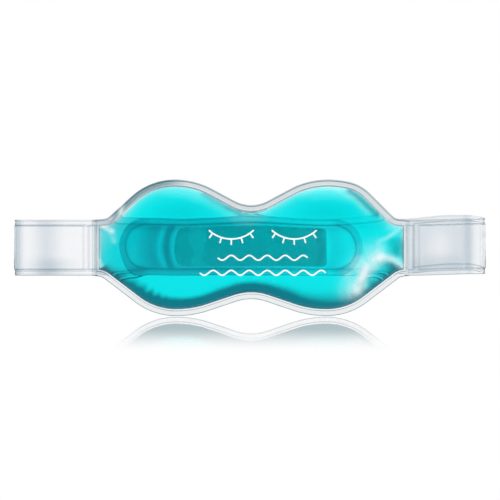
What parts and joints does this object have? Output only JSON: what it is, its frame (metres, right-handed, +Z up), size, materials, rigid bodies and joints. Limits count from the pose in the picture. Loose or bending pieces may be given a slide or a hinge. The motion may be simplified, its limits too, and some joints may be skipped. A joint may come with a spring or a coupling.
{
  "type": "gel eye mask",
  "caption": "Clear-film eye mask filled with turquoise cooling gel, with two folded film straps that close in a hook-and-loop overlap behind the head.",
  "frame": {"origin": "centre of the mask's face side, at the nose bridge, level with the middle of the strap", "axes": "+X to the right seen from the front, +Y from the mask towards the face and the strap, +Z up"},
  "size_m": [0.3167, 0.0216, 0.0916],
  "materials": {
    "clear_film": "clear glossy PVC film",
    "gel": "clear turquoise gel",
    "print_ink": "opaque white ink",
    "fastener_tape": "white hook-and-loop tape"
  },
  "bodies": {
    "mask": {"front_film": "clear_film", "back_film": "clear_film", "gel_fill": "gel", "front_print": "print_ink", "left_strap_tab": "clear_film", "right_strap_tab": "clear_film"},
    "left_near_strap": {"left_near_outer_film": "clear_film", "left_near_inner_film": "clear_film", "left_fold_outer_film": "clear_film", "left_fold_inner_film": "clear_film"},
    "left_far_strap": {"left_far_outer_film": "clear_film", "left_far_inner_film": "clear_film", "loop_pad": "fastener_tape"},
    "right_near_strap": {"right_near_outer_film": "clear_film", "right_near_inner_film": "clear_film", "right_fold_outer_film": "clear_film", "right_fold_inner_film": "clear_film"},
    "right_far_strap": {"right_far_outer_film": "clear_film", "right_far_inner_film": "clear_film"},
    "right_strap_tail": {"right_tail_outer_film": "clear_film", "right_tail_inner_film": "clear_film", "hook_pad": "fastener_tape"}
  },
  "joints": [
    {"name": "left_weld_hinge", "type": "hinge", "parent": "mask", "child": "left_near_strap", "pos_m": [-0.1082, -0.0028, 0], "axis": [0, 0, -1], "range_deg": [0, 70]},
    {"name": "left_fold_hinge", "type": "hinge", "parent": "left_near_strap", "child": "left_far_strap", "pos_m": [-0.1527, 0.0005, 0], "axis": [0, 0, 1], "range_deg": [0, 70]},
    {"name": "right_weld_hinge", "type": "hinge", "parent": "mask", "child": "right_near_strap", "pos_m": [0.1082, -0.00112, 0], "axis": [0, 0, 1], "range_deg": [0, 70]},
    {"name": "right_fold_hinge", "type": "hinge", "parent": "right_near_strap", "child": "right_far_strap", "pos_m": [0.1527, 0.00217, 0], "axis": [0, 0, -1], "range_deg": [0, 70]},
    {"name": "right_peel_hinge", "type": "hinge", "parent": "right_far_strap", "child": "right_strap_tail", "pos_m": [0.08, 0.0105, 0], "axis": [0, 0, -1], "range_deg": [0, 150]}
  ],
  "couplings": [
    {"joint": "left_fold_hinge", "follows": "left_weld_hinge", "ratio": 1},
    {"joint": "right_weld_hinge", "follows": "left_weld_hinge", "ratio": 1},
    {"joint": "right_fold_hinge", "follows": "left_weld_hinge", "ratio": 1}
  ]
}
